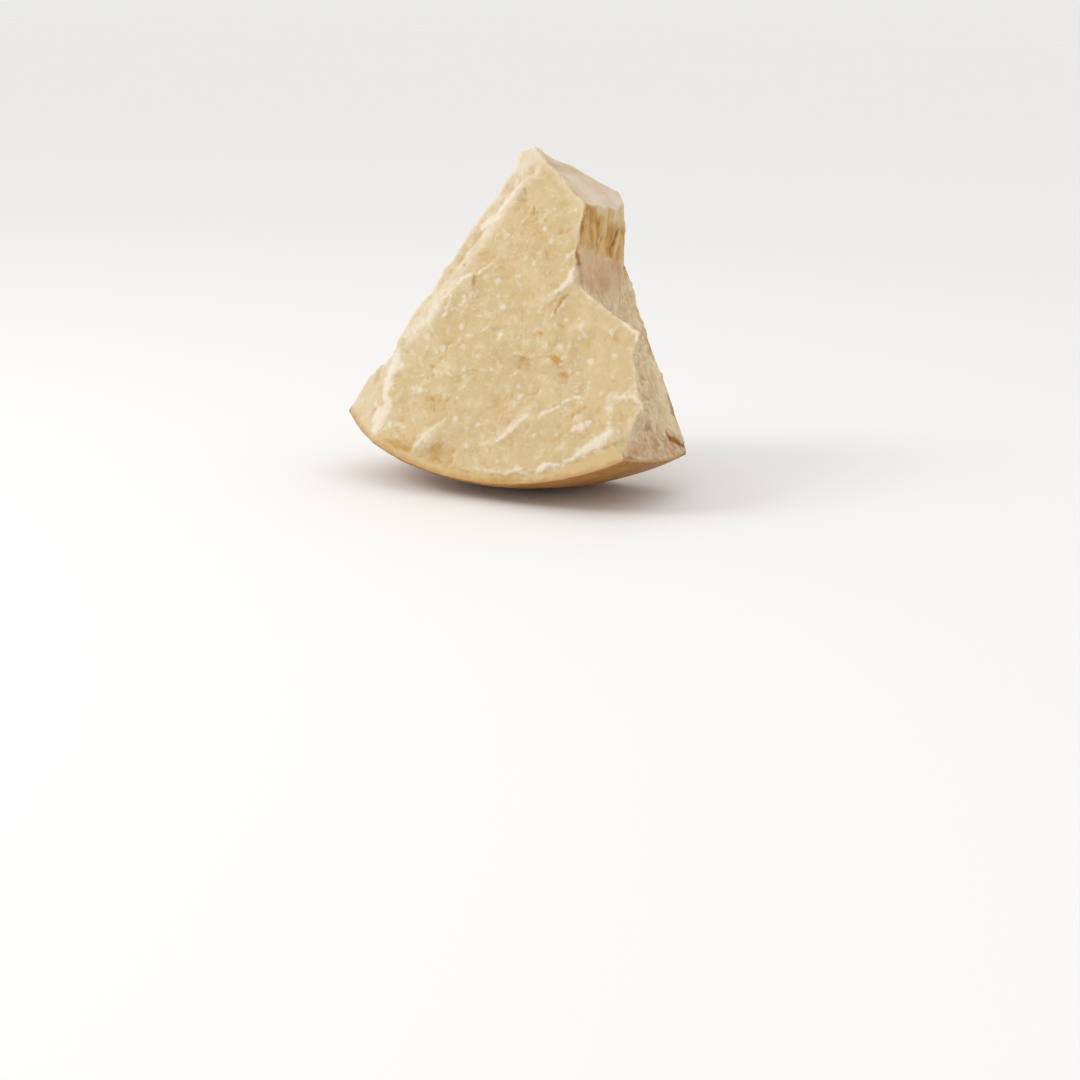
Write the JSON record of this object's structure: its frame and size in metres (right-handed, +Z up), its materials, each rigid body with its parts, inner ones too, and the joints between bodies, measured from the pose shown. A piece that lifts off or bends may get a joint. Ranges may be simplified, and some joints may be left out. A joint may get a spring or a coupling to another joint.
{
  "type": "parmesan chunk",
  "caption": "Rough-broken wedge of hard grating cheese from half a wheel, standing on its curved rind and leaning back, with a flaring lip on one side.",
  "frame": {"origin": "middle of the bounding box's bottom, on the surface that the chunk stands on", "axes": "+Z up; +X to the right of the large broken face as one looks at it; +Y from that face back towards the wheel's flat face"},
  "size_m": [0.2414, 0.17, 0.2329],
  "materials": {
    "cheese": "broken, matt with a slight waxy sheen"
  },
  "bodies": {
    "root": {"parmesan_chunk": "cheese"}
  },
  "joints": []
}
